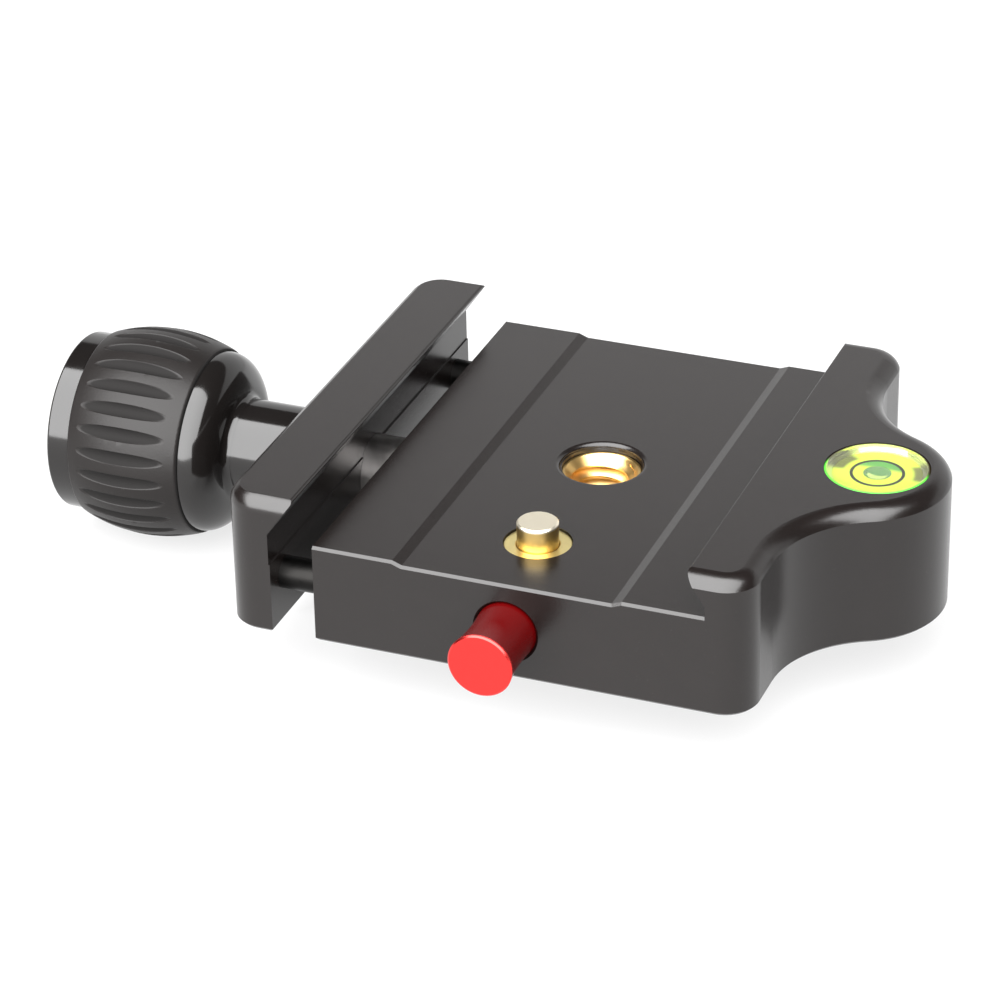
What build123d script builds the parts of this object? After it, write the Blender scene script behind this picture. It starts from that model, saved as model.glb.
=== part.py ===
from build123d import *
import math
import os

# Dovetail quick release clamp, in millimetres.
# The origin is on the mounting hole's axis at the underside. +X points to the
# spirit level, +Y runs along the dovetail and +Z is up. The clamp stands open.

# Dovetail and platform
length = 50.0               # platform and both jaws, along Y
deck_h = 10.1               # the two raised strips of the platform
jaw_h = 14.2                # tops of both jaws
deck_left = -19.5           # side that the moving jaw closes against
root_w = 38.46              # between the undercut roots when closed
slant_deg = 35.0            # undercut, measured from upright
fixed_root_h = 1.2          # upright foot of the fixed undercut
moving_root_h = 0.6         # upright foot of the moving undercut
pocket_left = -10.54        # floor of the shallow pocket between the strips
pocket_w = 20.58
pocket_depth = 0.36
pocket_slope = 0.95         # run of each sloping side of the pocket
edge_break = 0.25           # broken edges of the platform's ends
foot_break = 0.3            # broken edges of the underside
rim_r = 1.8                 # rounded top rim of the base
rim_proud = 0.1             # rim's cutter stands this far outside the wall
lip_round = 0.1             # broken edge of the fixed lip
corner_r = 3.3              # outer corners of both jaws in plan

# Fixed jaw in plan
jaw_back = 4.23             # undercut root to the outer wall
waist_y = 18.0              # where the wall starts to curve out
bulge_x = 25.55             # centre of the nose that holds the level
bulge_r = 8.9

# Moving jaw and its guides
gap = 4.4                   # jaw to platform as modelled
jaw_t = 4.9
jaw_rim_r = 1.65            # rounded top rim of the moving jaw
jaw_rim_sunk = 0.155        # rim's cutter reaches this far below the top
jaw_lip_round = 0.25        # broken edge of the moving lip
relief_h = 7.3              # inner face is relieved above this height
relief_d = 0.12
close_end = 0.05            # left between jaw and platform when fully closed
guide_r = 1.58
guide_y = 21.6
guide_in_jaw = 3.6
guide_in_base = 7.0
bore_room = 0.6             # blind bores past the ends when fully closed

# Clamp screw and knob, all on one axis along X
axis_h = 4.81               # height of the screw, guides and button
screw_r = 3.5
screw_in_base = 7.5
screw_point = 0.7           # chamfer on the screw's end
shank_r = 3.0
shank_len = 17.0            # inside the knob
neck_r = 2.7                # groove that keeps the screw in the jaw
neck_w = 1.7
keeper_r = 1.25
keeper_tip_r = 0.8
keeper_key = 1.3            # hexagon key across flats
washer_t = 0.5
washer_r = 4.7
stem_r = 4.85
stem_len = 8.83
stem_fillet = 0.7
grip_crest_r = 10.49        # rubber barrel at its middle
grip_bulge = 1.14           # crest above the barrel's two ends
grip_len = 11.9
grip_edge_r = 0.35
grip_gap = 0.12             # fine groove between bell and rubber
rubber_t = 2.49             # wall of the barrel at its crest
bell_sunk = 0.25            # glossy bell below the barrel's end
bell_len = 2.97             # its rounded front, a quarter of an ellipse
bell_drop = 3.64
flute_count = 27
flute_len = 9.4
flute_depth = 0.4
flute_r = 0.85              # ball nose that cuts each flute
flute_phase = 24.7          # degrees, from -Y towards +Z
cap_sunk = 0.4              # end cap below the barrel's end
cap_t = 2.45
cap_edge_r = 0.3
cap_rim = 1.55              # flat ring round the shallow dish
cap_dish_d = 0.25
spigot_r = 5.0
spigot_len = 2.8
roll_pin_r = 1.0
roll_pin_at = 3.5           # inside the sleeve from the bell
roll_pin_wall = 0.35

# Mounting hole and its reducing bush
hole_r = 4.0
hole_mouth = 0.46
bush_sink = 0.84            # bush top below the pocket floor
bush_bore_r = 2.6
bush_mouth = 0.95
driver_slot_w = 1.2
driver_slot_d = 1.3

# Catch pin and release button
catch_x = -0.3
catch_y = -16.4
catch_proud = 1.83          # catch pin above the raised strips
catch_r = 1.98
catch_edge = 0.15
collar_r = 3.25
collar_t = 1.0
collar_sink = 0.2
catch_stem_r = 1.0
catch_travel = 2.2
button_face_r = 3.15
button_r = 2.95             # shank in the base
button_proud = 6.5
button_edge = 0.15
button_waist_r = 2.84
button_mouth = 0.22         # countersink of the button's bore
fork_flat_h = 1.3           # flat on the button's fork above the axis
fork_reach = 2.4            # fork end past the catch pin's axis
dowel_r = 0.5
dowel_len = 3.4
dowel_h = 0.3               # cross dowel above the axis at rest
stem_below_dowel = 0.5
stop_y = -21.2
stop_r = 1.5
stop_tip_r = 0.7
stop_key = 1.5              # hexagon key across flats
key_socket_d = 0.8
key_depth = 0.9
spring_r = 0.98             # outside of the coil
spring_wire_r = 0.1
spring_turns = 3.5
spring_bore_r = 1.2
plug_r = 1.6
plug_t = 0.6
plug_slot_w = 0.5
plug_slot_d = 0.25

# Spirit level
level_x = 27.5
level_r = 5.0
level_h = 6.0
level_wall = 0.7
level_lens = 1.3
level_dome = 0.35           # hollow of the lens's underside
level_plug_t = 1.2
bubble_r = 1.35
bubble_t = 0.45

# Fits, all radial
run_fit = 0.05              # what turns or slides
seat_fit = 0.02             # what is pressed, screwed or bonded in
floor_gap = 0.05            # screws and plugs inside the underside
stop_gap = 0.1              # screw tips and shoulders short of what they guard
small_break = 0.2           # broken edges of turned pieces

# Places that follow from the sizes above
root_x = deck_left + root_w
wall_x = root_x + jaw_back
pocket_floor = deck_h - pocket_depth
pocket_right = pocket_left + pocket_w
slant = math.tan(math.radians(slant_deg))
fixed_lip_x = root_x - (jaw_h - deck_h - fixed_root_h) * slant
jaw_in = deck_left - gap
jaw_out = jaw_in - jaw_t
moving_lip_x = jaw_in + (jaw_h - deck_h - moving_root_h) * slant
closing = gap - close_end
keeper_x = jaw_in - jaw_t / 2
stem_end = jaw_out - washer_t
bell_front = stem_end - stem_len
bell_back = bell_front - bell_len
grip_front = bell_back - grip_gap
grip_back = grip_front - grip_len
grip_mid = (grip_front + grip_back) / 2
cap_end = grip_back - cap_t
grip_end_r = grip_crest_r - grip_bulge
sleeve_r = grip_crest_r - rubber_t
bell_r = grip_end_r - bell_sunk
cap_r = grip_end_r - cap_sunk
cap_dish_r = cap_r - cap_rim
bush_top = pocket_floor - bush_sink
front = -length / 2
button_bore_r = button_r + run_fit
collar_top = pocket_floor - collar_sink
collar_bottom = collar_top - collar_t
catch_top = deck_h + catch_proud
fork_flat = axis_h + fork_flat_h
catch_head_bottom = fork_flat + catch_travel + 2 * run_fit
fork_end = catch_y + fork_reach
dowel_z = axis_h + dowel_h
stem_bottom = dowel_z - dowel_r - stem_below_dowel
plug_top = floor_gap + plug_t
level_floor = jaw_h - level_h


def rod_x(radius, x0, x1, y=0.0, z=0.0):
    """Cylinder along X from x0 to x1."""
    bar = Cylinder(radius, x1 - x0, align=(Align.CENTER, Align.CENTER, Align.MIN))
    return Pos(x0, y, z) * Rot(0, 90, 0) * bar


def rod_y(radius, y0, y1, x=0.0, z=0.0):
    """Cylinder along Y from y0 to y1."""
    bar = Cylinder(radius, y1 - y0, align=(Align.CENTER, Align.CENTER, Align.MIN))
    return Pos(x, y0, z) * Rot(-90, 0, 0) * bar


def rod_z(radius, z0, z1, x=0.0, y=0.0):
    """Cylinder along Z from z0 to z1."""
    bar = Cylinder(radius, z1 - z0, align=(Align.CENTER, Align.CENTER, Align.MIN))
    return Pos(x, y, z0) * bar


def block(x0, x1, y0, y1, z0, z1):
    """Box between two corners."""
    box = Box(x1 - x0, y1 - y0, z1 - z0)
    return Pos((x0 + x1) / 2, (y0 + y1) / 2, (z0 + z1) / 2) * box


def bar_y(section, y0, y1):
    """Closed section of (x, z) points, drawn along Y from y0 to y1."""
    face = make_face(Plane.XZ * Polyline(*section, close=True))
    return extrude(Pos(0, y0, 0) * face, amount=y1 - y0, dir=(0, 1, 0))


def turned(profile, axis):
    """Full turn of a closed profile of edges about an axis."""
    return revolve(make_face(profile), axis=axis)


def spun_x(points):
    """Turned solid about the knob's axis from (x, radius) points."""
    outline = Polyline(*[(x, r, 0) for x, r in points], close=True)
    return Pos(0, 0, axis_h) * turned(outline.edges(), Axis.X)


def spun_z(points, x=0.0, y=0.0):
    """Turned solid about an upright axis from (radius, z) points."""
    outline = Plane.XZ * Polyline(*points, close=True)
    return Pos(x, y, 0) * turned(outline.edges(), Axis.Z)


def plan_outline():
    """Plan of the base: straight platform, waists and the round nose."""
    reach = bulge_x - wall_x
    waist_r = (reach**2 + waist_y**2 - bulge_r**2) / (2 * (bulge_r + reach))
    turn = math.degrees(math.atan2(waist_y, wall_x + waist_r - bulge_x))
    half = length / 2
    low = CenterArc((wall_x + waist_r, -waist_y), waist_r, 180, -turn)
    nose = CenterArc((bulge_x, 0), bulge_r, -turn, 2 * turn)
    high = CenterArc((wall_x + waist_r, waist_y), waist_r, 180 + turn, -turn)
    sides = Polyline(
        (wall_x, waist_y),
        (wall_x, half),
        (deck_left, half),
        (deck_left, -half),
        (wall_x, -half),
        (wall_x, -waist_y),
    )
    plan = make_face([*low.edges(), *nose.edges(), *high.edges(), *sides.edges()])
    ends = [v for v in plan.vertices() if abs(abs(v.Y) - half) < 0.01]
    return fillet([v for v in ends if v.X > 0], corner_r)


def base_envelope():
    """Rounded rim all round, from a cutter that leaves a crease at the wall."""
    grown = extrude(offset(plan_outline(), amount=rim_proud), amount=jaw_h)
    top = grown.faces().sort_by(Axis.Z)[-1]
    rim = [e for e in top.edges() if e.center().X > deck_left]
    return fillet(rim, rim_r)


def dovetail_channel():
    """Space above the platform, with the fixed undercut at its right."""
    section = [
        (deck_left - 1, deck_h),
        (root_x, deck_h),
        (root_x, deck_h + fixed_root_h),
        (fixed_lip_x, jaw_h),
        (fixed_lip_x, jaw_h + 1),
        (deck_left - 1, jaw_h + 1),
    ]
    return bar_y(section, front - 1, -front + 1)


def deck_pocket():
    """Shallow pocket with sloping sides between the raised strips."""
    section = [
        (pocket_left - pocket_slope, deck_h),
        (pocket_left, pocket_floor),
        (pocket_right, pocket_floor),
        (pocket_right + pocket_slope, deck_h),
        (pocket_right + pocket_slope, deck_h + 1),
        (pocket_left - pocket_slope, deck_h + 1),
    ]
    return bar_y(section, front - 1, -front + 1)


def base_blank():
    """Machined base before its holes are drilled."""
    blank = extrude(plan_outline(), amount=jaw_h) - dovetail_channel()
    top = blank.faces().sort_by(Axis.Z)[-1]
    blank = fillet(top.edges().sort_by(Axis.X)[0], lip_round)
    blank = (blank & base_envelope()) - deck_pocket()
    foot = blank.faces().sort_by(Axis.Z)[0]
    blank = chamfer(foot.edges(), foot_break)
    ends = [
        e
        for e in blank.edges()
        if abs(abs(e.center().Y) - length / 2) < 0.01
        and pocket_floor - 0.01 < e.center().Z < deck_h + 0.01
        and e.center().X < root_x
    ]
    return chamfer(ends, edge_break)


def screw_bores():
    """Blind bores for the clamp screw and the two guide pins."""
    screw_end = deck_left + screw_in_base + closing + bore_room
    guide_end = deck_left + guide_in_base + closing + bore_room
    bores = rod_x(screw_r + run_fit, deck_left - 1, screw_end, 0, axis_h)
    for y in (-guide_y, guide_y):
        bores += rod_x(guide_r + run_fit, deck_left - 1, guide_end, y, axis_h)
    return bores


def catch_bores():
    """Button bore, catch pin bores and the two holes in the underside."""
    bore_end = fork_end + catch_travel + bore_room
    bores = rod_y(button_bore_r, front - 1, bore_end, catch_x, axis_h)
    flare = Cone(button_bore_r, button_bore_r + 2 * button_mouth, 2 * button_mouth)
    bores += Pos(catch_x, front, axis_h) * Rot(90, 0, 0) * flare
    bores += rod_z(catch_r + run_fit, axis_h, pocket_floor + 1, catch_x, catch_y)
    bores += rod_z(collar_r + seat_fit, collar_bottom, pocket_floor + 1, catch_x, catch_y)
    bores += rod_z(spring_bore_r, -1, axis_h, catch_x, catch_y)
    bores += rod_z(plug_r + seat_fit, -1, plug_top, catch_x, catch_y)
    bores += rod_z(stop_r + seat_fit, -1, axis_h, catch_x, stop_y)
    return bores


def base_body():
    body = base_blank() - screw_bores() - catch_bores()
    mouth = Cone(
        hole_r,
        hole_r + 2 * hole_mouth,
        2 * hole_mouth,
        align=(Align.CENTER, Align.CENTER, Align.MIN),
    )
    body -= rod_z(hole_r, -1, jaw_h)
    body -= Pos(0, 0, pocket_floor - hole_mouth) * mouth
    body -= rod_z(level_r + seat_fit, level_floor, jaw_h + 1, level_x)
    return body


def mount_bushing():
    """Reducing bush: outside thread for the base, inside for the stud."""
    radius = hole_r - seat_fit
    points = [
        (bush_bore_r, 0),
        (radius, 0),
        (radius, bush_top - small_break),
        (radius - small_break, bush_top),
        (bush_bore_r + bush_mouth, bush_top),
        (bush_bore_r, bush_top - bush_mouth),
    ]
    slot = block(-hole_r, hole_r, -driver_slot_w / 2, driver_slot_w / 2, -1, driver_slot_d)
    return spun_z(points) - slot


def pin_bushing():
    """Collar that guides the catch pin's head."""
    bore = catch_r + run_fit
    points = [
        (bore, collar_bottom),
        (collar_r, collar_bottom),
        (collar_r, collar_top - 0.1),
        (collar_r - 0.1, collar_top),
        (bore + 0.1, collar_top),
        (bore, collar_top - 0.1),
    ]
    return spun_z(points, catch_x, catch_y)


def level_vial():
    """Clear cup of the level with a thick lens, hollowed for the bubble."""
    cavity_r = level_r - level_wall
    ceiling = jaw_h - level_lens
    lens_r = (cavity_r**2 + level_dome**2) / (2 * level_dome)
    cup = rod_z(level_r, level_floor, jaw_h)
    cup -= rod_z(cavity_r, level_floor - 1, ceiling - level_dome)
    ball = Pos(0, 0, ceiling - lens_r) * Sphere(lens_r)
    slab = rod_z(cavity_r, ceiling - level_dome, ceiling + 1)
    cup -= ball & slab
    rim = cup.edges().filter_by(GeomType.CIRCLE).sort_by(Axis.Z)[-1]
    return Pos(level_x, 0, 0) * chamfer(rim, small_break)


def level_fluid():
    """Coloured spirit that fills the cup, with the bubble left out."""
    cavity_r = level_r - level_wall - seat_fit
    ceiling = jaw_h - level_lens - seat_fit
    lens_r = (cavity_r**2 + level_dome**2) / (2 * level_dome)
    fill = rod_z(cavity_r, level_floor + level_plug_t, ceiling - level_dome)
    ball = Pos(0, 0, ceiling - lens_r) * Sphere(lens_r)
    fill += ball & rod_z(cavity_r, ceiling - level_dome, ceiling + 1)
    round_r = (bubble_r**2 + bubble_t**2) / (2 * bubble_t)
    bubble = Pos(0, 0, ceiling - bubble_t + round_r) * Sphere(round_r)
    bubble &= rod_z(bubble_r, ceiling - bubble_t - 1, ceiling + 1)
    return Pos(level_x, 0, 0) * (fill - bubble)


def level_plug():
    """Disc bonded into the bottom of the level's cup."""
    radius = level_r - level_wall - seat_fit
    return rod_z(radius, level_floor, level_floor + level_plug_t, level_x)


def pin_spring():
    """Coil that lifts the catch pin, standing on the spring plug."""
    coil_r = spring_r - spring_wire_r
    height = stem_bottom - plug_top - 2 * spring_wire_r - 0.04
    path = Helix(height / spring_turns, height, coil_r)
    start = Plane(origin=path @ 0, z_dir=path % 0)
    coil = sweep(start * Circle(spring_wire_r), path=path)
    return Pos(catch_x, catch_y, plug_top + spring_wire_r + 0.02) * coil


def spring_plug():
    """Slotted plug under the catch pin's spring."""
    plug = rod_z(plug_r, floor_gap, plug_top, catch_x, catch_y)
    reach = plug_r + 1
    half_w = plug_slot_w / 2
    top = floor_gap + plug_slot_d
    slot = block(catch_x - reach, catch_x + reach, catch_y - half_w, catch_y + half_w, -1, top)
    return plug - slot


def hex_socket(across, depth, x, y):
    """Hexagon key socket that opens at the underside."""
    face = Pos(x, y, 0) * RegularPolygon(across / 2, 6, major_radius=False)
    return extrude(face, amount=depth)


def button_stop_screw():
    """Dog point screw in the underside that runs in the button's keyway."""
    thread_top = axis_h - button_bore_r - stop_gap
    tip_top = axis_h - button_r + key_depth - stop_gap
    screw = rod_z(stop_r, floor_gap, thread_top, catch_x, stop_y)
    screw += rod_z(stop_tip_r, thread_top, tip_top, catch_x, stop_y)
    return screw - hex_socket(stop_key, floor_gap + key_socket_d, catch_x, stop_y)


def jaw_envelope():
    """Rounded corners and rim, from a cutter that leaves a crease on top."""
    envelope = block(jaw_out, deck_left, front, -front, -1, jaw_h + jaw_rim_sunk)
    corners = envelope.edges().filter_by(Axis.Z).sort_by(Axis.X)[:2]
    envelope = fillet(corners, corner_r)
    top = envelope.faces().sort_by(Axis.Z)[-1]
    return fillet(top.edges().sort_by(Axis.X)[:-1], jaw_rim_r)


def moving_jaw():
    section = [
        (jaw_out, 0),
        (jaw_in, 0),
        (jaw_in, relief_h),
        (jaw_in - relief_d, relief_h),
        (jaw_in - relief_d, deck_h + moving_root_h - relief_d / slant),
        (moving_lip_x, jaw_h),
        (jaw_out, jaw_h),
    ]
    jaw = bar_y(section, front, -front)
    top = jaw.faces().sort_by(Axis.Z)[-1]
    jaw = fillet(top.edges().sort_by(Axis.X)[-1], jaw_lip_round)
    jaw &= jaw_envelope()
    foot = jaw.faces().sort_by(Axis.Z)[0]
    jaw = chamfer(foot.edges(), foot_break)
    jaw -= rod_x(screw_r + run_fit, jaw_out - 1, jaw_in + 1, 0, axis_h)
    for y in (-guide_y, guide_y):
        jaw -= rod_x(guide_r + seat_fit, jaw_in - guide_in_jaw, jaw_in + 1, y, axis_h)
    jaw -= rod_z(keeper_r + seat_fit, -1, axis_h, keeper_x)
    return jaw


def guide_pin(y):
    """Ground pin pressed into the moving jaw that slides in the base."""
    end = deck_left + guide_in_base
    pin = rod_x(guide_r, jaw_in - guide_in_jaw, end, y, axis_h)
    return chamfer(pin.edges().filter_by(GeomType.CIRCLE), 0.3)


def jaw_keeper_screw():
    """Dog point screw in the jaw's underside, in the clamp screw's groove."""
    thread_top = axis_h - screw_r - run_fit - stop_gap
    tip_top = axis_h - neck_r - run_fit
    screw = rod_z(keeper_r, floor_gap, thread_top, keeper_x)
    screw += rod_z(keeper_tip_r, thread_top, tip_top, keeper_x)
    return screw - hex_socket(keeper_key, floor_gap + key_socket_d, keeper_x, 0)


def clamp_screw():
    """Screw with a plain shank in the knob and a groove inside the jaw."""
    end = deck_left + screw_in_base
    shank_end = stem_end - shank_len
    points = [
        (shank_end, 0),
        (shank_end, shank_r - 0.3),
        (shank_end + 0.3, shank_r),
        (stem_end, shank_r),
        (stem_end, screw_r),
        (keeper_x - neck_w / 2, screw_r),
        (keeper_x - neck_w / 2, neck_r),
        (keeper_x + neck_w / 2, neck_r),
        (keeper_x + neck_w / 2, screw_r),
        (end - screw_point, screw_r),
        (end, screw_r - screw_point),
        (end, 0),
    ]
    pin_x = bell_back - roll_pin_at
    hole = rod_y(roll_pin_r + seat_fit, -screw_r, screw_r, pin_x, axis_h)
    return spun_x(points) - hole


def thrust_washer():
    """Plain washer between the knob's stem and the moving jaw."""
    washer = rod_x(washer_r, stem_end, jaw_out, 0, axis_h)
    return washer - rod_x(screw_r + run_fit, stem_end - 1, jaw_out + 1, 0, axis_h)


def knob_core():
    """Turned core: stem, bell with its rounded front, and sleeve."""
    bore_end = stem_end - shank_len - 0.3
    bell_top = stem_r + stem_fillet
    drop = bell_r - bell_drop
    start_deg = math.degrees(math.asin((bell_top - drop) / bell_drop))
    meet = bell_back + bell_len * math.cos(math.radians(start_deg))
    mid = math.radians(45)
    stem_start = meet + stem_fillet
    edges = [
        Line((stem_end, 0), (stem_end, stem_r - small_break)),
        Line((stem_end, stem_r - small_break), (stem_end - small_break, stem_r)),
        Line((stem_end - small_break, stem_r), (stem_start, stem_r)),
        ThreePointArc(
            (stem_start, stem_r),
            (meet + stem_fillet * (1 - math.sin(mid)), bell_top - stem_fillet * math.cos(mid)),
            (meet, bell_top),
        ),
        EllipticalCenterArc(
            (bell_back, drop), bell_len, bell_drop, start_deg, arc_size=90 - start_deg
        ),
        Line((bell_back, bell_r), (bell_back, sleeve_r)),
        Line((bell_back, sleeve_r), (grip_back, sleeve_r)),
        Line((grip_back, sleeve_r), (grip_back, 0)),
        Line((grip_back, 0), (stem_end, 0)),
    ]
    core = Pos(0, 0, axis_h) * turned(edges, Axis.X)
    core -= rod_x(shank_r + seat_fit, bore_end, stem_end + 1, 0, axis_h)
    core -= rod_x(spigot_r + seat_fit, grip_back - 1, grip_back + spigot_len + 0.2, 0, axis_h)
    core -= rod_y(roll_pin_r + seat_fit, -bell_r, bell_r, bell_back - roll_pin_at, axis_h)
    return core


def flute_cutter():
    """Short bent round bar whose path leaves one lens-shaped flute."""
    half = flute_len / 2
    barrel_drop = (grip_crest_r - grip_end_r) * (flute_len / grip_len) ** 2
    path_r = half**2 / (2 * (barrel_drop - flute_depth))
    crest_r = grip_crest_r - flute_depth + flute_r
    sweep_deg = 2.2 * math.degrees(math.asin(half / path_r))
    disc = Plane.YZ * Pos(0, axis_h + crest_r) * Circle(flute_r)
    pivot = Axis((0, 0, axis_h + crest_r - path_r), (0, 1, 0))
    bar = revolve(disc, axis=pivot, revolution_arc=sweep_deg)
    return Pos(grip_mid, 0, 0) * bar.rotate(pivot, -sweep_deg / 2)


def knob_grip():
    """Rubber barrel with lens-shaped flutes all round."""
    edges = [
        Line((grip_front, 0), (grip_front, grip_end_r)),
        ThreePointArc((grip_front, grip_end_r), (grip_mid, grip_crest_r), (grip_back, grip_end_r)),
        Line((grip_back, grip_end_r), (grip_back, 0)),
        Line((grip_back, 0), (grip_front, 0)),
    ]
    barrel = turned(edges, Axis.X)
    rims = barrel.edges().filter_by(GeomType.CIRCLE)
    barrel = Pos(0, 0, axis_h) * fillet(rims, grip_edge_r)
    barrel -= rod_x(sleeve_r + seat_fit, grip_back - 1, grip_front + 1, 0, axis_h)
    cutter = flute_cutter()
    axis = Axis((0, 0, axis_h), (1, 0, 0))
    step = 360 / flute_count
    cutters = [cutter.rotate(axis, 90 - flute_phase + i * step) for i in range(flute_count)]
    return barrel - cutters


def knob_cap():
    """End cap with a spigot that plugs into the core."""
    points = [
        (cap_end + cap_dish_d, 0),
        (cap_end + cap_dish_d, cap_dish_r),
        (cap_end, cap_dish_r + cap_dish_d),
        (cap_end, cap_r),
        (grip_back, cap_r),
        (grip_back, spigot_r),
        (grip_back + spigot_len, spigot_r),
        (grip_back + spigot_len, 0),
    ]
    cap = spun_x(points)
    rim = [
        e
        for e in cap.edges().filter_by(GeomType.CIRCLE)
        if abs(e.radius - cap_r) < 0.01 and e.center().X < grip_back - 0.1
    ]
    return fillet(rim, cap_edge_r)


def knob_roll_pin():
    """Slotted spring pin through the core and the screw's shank."""
    x = bell_back - roll_pin_at
    half = sleeve_r - 0.2
    pin = rod_y(roll_pin_r, -half, half, x, axis_h)
    pin -= rod_y(roll_pin_r - roll_pin_wall, -half - 1, half + 1, x, axis_h)
    slit = block(x - 0.15, x + 0.15, -half - 1, half + 1, axis_h, axis_h + 2 * roll_pin_r)
    return pin - slit


def button_blank():
    """Turned button: flared face, hollow waist and plain shank."""
    face = front - button_proud
    waist_start = face + button_edge
    edges = [
        Line((0, face), (button_face_r - button_edge, face)),
        Line((button_face_r - button_edge, face), (button_face_r, waist_start)),
        ThreePointArc(
            (button_face_r, waist_start),
            (button_waist_r, (waist_start + front) / 2),
            (button_r, front),
        ),
        Line((button_r, front), (button_r, fork_end)),
        Line((button_r, fork_end), (0, fork_end)),
        Line((0, fork_end), (0, face)),
    ]
    return Pos(catch_x, 0, axis_h) * turned(edges, Axis.Y)


def release_button():
    """Button whose fork draws the catch pin down by a sloping slot."""
    slot_half = catch_stem_r + 2 * run_fit
    slot_start = catch_y - catch_stem_r - catch_travel - 0.15
    flat_start = catch_y - catch_r - catch_travel - 0.2
    track_w = 2 * (dowel_r + run_fit)
    reach = button_r + 1
    button = button_blank()
    button -= block(
        catch_x - slot_half, catch_x + slot_half, slot_start, fork_end + 1, -1, 2 * axis_h
    )
    button -= block(
        catch_x - reach, catch_x + reach, flat_start, fork_end + 1, fork_flat, 3 * axis_h
    )
    ramp = SlotCenterToCenter(catch_travel * math.sqrt(2), track_w, rotation=45)
    half_travel = catch_travel / 2
    ramp = Plane.YZ * Pos(catch_y - half_travel, dowel_z - half_travel) * ramp
    button -= extrude(Pos(catch_x, 0, 0) * ramp, amount=reach, both=True)
    button -= block(
        catch_x - reach,
        catch_x + reach,
        catch_y,
        fork_end + 1,
        dowel_z - track_w / 2,
        dowel_z + track_w / 2,
    )
    key_half = stop_tip_r + run_fit
    button -= block(
        catch_x - key_half,
        catch_x + key_half,
        stop_y - key_half - catch_travel,
        stop_y + key_half,
        axis_h - reach,
        axis_h - button_r + key_depth,
    )
    return button


def safety_pin():
    """Catch pin: head that stops the plate, and a thin stem below."""
    points = [
        (0, stem_bottom),
        (catch_stem_r, stem_bottom),
        (catch_stem_r, catch_head_bottom),
        (catch_r, catch_head_bottom),
        (catch_r, catch_top - catch_edge),
        (catch_r - catch_edge, catch_top),
        (0, catch_top),
    ]
    pin = spun_z(points, catch_x, catch_y)
    hole = rod_x(dowel_r + seat_fit, catch_x - 2, catch_x + 2, catch_y, dowel_z)
    return pin - hole


def cross_dowel():
    """Dowel through the catch pin's stem that rides in the button's slot."""
    half = dowel_len / 2
    return rod_x(dowel_r, catch_x - half, catch_x + half, catch_y, dowel_z)


nodes = {
    "base_body": base_body(),
    "mount_bushing": mount_bushing(),
    "pin_bushing": pin_bushing(),
    "level_vial": level_vial(),
    "level_fluid": level_fluid(),
    "level_plug": level_plug(),
    "pin_spring": pin_spring(),
    "spring_plug": spring_plug(),
    "button_stop_screw": button_stop_screw(),
    "moving_jaw": moving_jaw(),
    "guide_pin_front": guide_pin(-guide_y),
    "guide_pin_rear": guide_pin(guide_y),
    "jaw_keeper_screw": jaw_keeper_screw(),
    "thrust_washer": thrust_washer(),
    "clamp_screw": clamp_screw(),
    "knob_core": knob_core(),
    "knob_grip": knob_grip(),
    "knob_cap": knob_cap(),
    "knob_roll_pin": knob_roll_pin(),
    "release_button": release_button(),
    "safety_pin": safety_pin(),
    "cross_dowel": cross_dowel(),
}

os.makedirs("parts", exist_ok=True)
for name, shape in nodes.items():
    export_step(shape, f"parts/{name}.step")
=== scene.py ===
"""Dovetail quick release clamp: finishes, threads, level and studio round the CAD part."""

import math

import bmesh
import bpy
from bpy.props import FloatProperty, FloatVectorProperty, IntProperty, PointerProperty
from bpy.types import Operator, Panel, PropertyGroup
from mathutils import Matrix, Vector


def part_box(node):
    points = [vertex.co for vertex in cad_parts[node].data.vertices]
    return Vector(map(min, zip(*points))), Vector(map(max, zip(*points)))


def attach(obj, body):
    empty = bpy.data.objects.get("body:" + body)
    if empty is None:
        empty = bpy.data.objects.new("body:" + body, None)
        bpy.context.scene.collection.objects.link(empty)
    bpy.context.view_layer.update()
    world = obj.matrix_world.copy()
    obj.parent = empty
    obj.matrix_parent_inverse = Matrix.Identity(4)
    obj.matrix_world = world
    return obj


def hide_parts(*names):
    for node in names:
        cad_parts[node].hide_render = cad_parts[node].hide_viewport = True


bl_info = {
    "name": "Dovetail quick release clamp",
    "version": (1, 0, 0),
    "blender": (4, 5, 0),
    "location": "3D View > Sidebar > Clamp",
    "description": "Dresses the clamp's CAD parts and builds its threads, level and studio",
    "category": "Object",
}

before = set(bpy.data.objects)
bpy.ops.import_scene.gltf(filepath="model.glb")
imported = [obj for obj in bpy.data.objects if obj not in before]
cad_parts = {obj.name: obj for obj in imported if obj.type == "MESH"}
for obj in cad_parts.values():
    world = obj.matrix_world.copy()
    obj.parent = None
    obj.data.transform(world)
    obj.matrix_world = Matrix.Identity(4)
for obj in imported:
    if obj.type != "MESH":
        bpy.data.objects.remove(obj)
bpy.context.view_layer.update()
MM = 0.001
FIT = 0.02 * MM  # gap of a close fit
MERGE = 0.002 * MM  # vertices nearer than this are one
SHARP = math.radians(35)  # an edge that turns further isn't smoothed

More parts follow.
